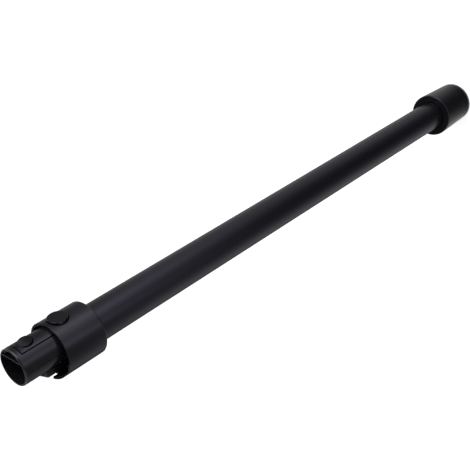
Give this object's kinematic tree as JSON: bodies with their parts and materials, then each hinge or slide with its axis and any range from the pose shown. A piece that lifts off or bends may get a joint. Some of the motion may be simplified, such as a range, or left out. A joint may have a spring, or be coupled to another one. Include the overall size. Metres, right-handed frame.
{
  "type": "vacuum extension wand",
  "caption": "Straight round tube with a sprung-latch spigot at one end and a socket at the other, for a stick vacuum cleaner.",
  "frame": {"origin": "centre of the socket's mouth, on the axis of the socket bore and of the spigot", "axes": "+Z along the wand to the spigot's mouth, +X towards the latch and the release button"},
  "size_m": [0.0526, 0.0526, 0.711],
  "materials": {
    "tube_paint": "satin black paint on drawn aluminium",
    "black_plastic": "satin moulded plastic",
    "inner_plastic": "plain moulded plastic",
    "steel": "zinc plated",
    "contact_brass": "plain",
    "seal_rubber": "soft moulded rubber",
    "wire_red": "insulated wire",
    "wire_dark": "insulated wire"
  },
  "bodies": {
    "wand": {"outer_tube": "tube_paint", "wire_positive": "wire_red", "wire_negative": "wire_dark", "spigot_body": "black_plastic", "guide_shoe": "black_plastic", "top_panel": "black_plastic", "lever_pin": "steel", "latch_spring": "steel", "spigot_seal": "seal_rubber", "spigot_contact_holder": "inner_plastic", "spigot_contact_positive": "contact_brass", "spigot_contact_negative": "contact_brass", "spigot_collar": "black_plastic", "spigot_collar_screw": "steel", "socket_collar": "black_plastic", "socket_liner": "inner_plastic", "socket_contact_holder": "inner_plastic", "socket_contact_positive": "contact_brass", "socket_contact_negative": "contact_brass", "socket_seal": "seal_rubber", "socket_collar_screw": "steel"},
    "latch": {"latch_lever": "inner_plastic"},
    "button": {"release_button": "black_plastic"}
  },
  "joints": [
    {"name": "latch_hinge", "type": "hinge", "parent": "wand", "child": "latch", "pos_m": [0.0154, 0, 0.6435], "axis": [0, -1, 0], "range_deg": [0, 2.2], "stiffness_Nm_per_rad": 1, "springref_deg": -17.19, "deforming": ["latch_spring"]},
    {"name": "button_slide", "type": "slide", "parent": "wand", "child": "button", "axis": [-1, 0, 0], "range_m": [0, 0.00075]}
  ],
  "couplings": [
    {"joint": "button_slide", "follows": "latch_hinge", "m_per_rad": 0.019}
  ]
}
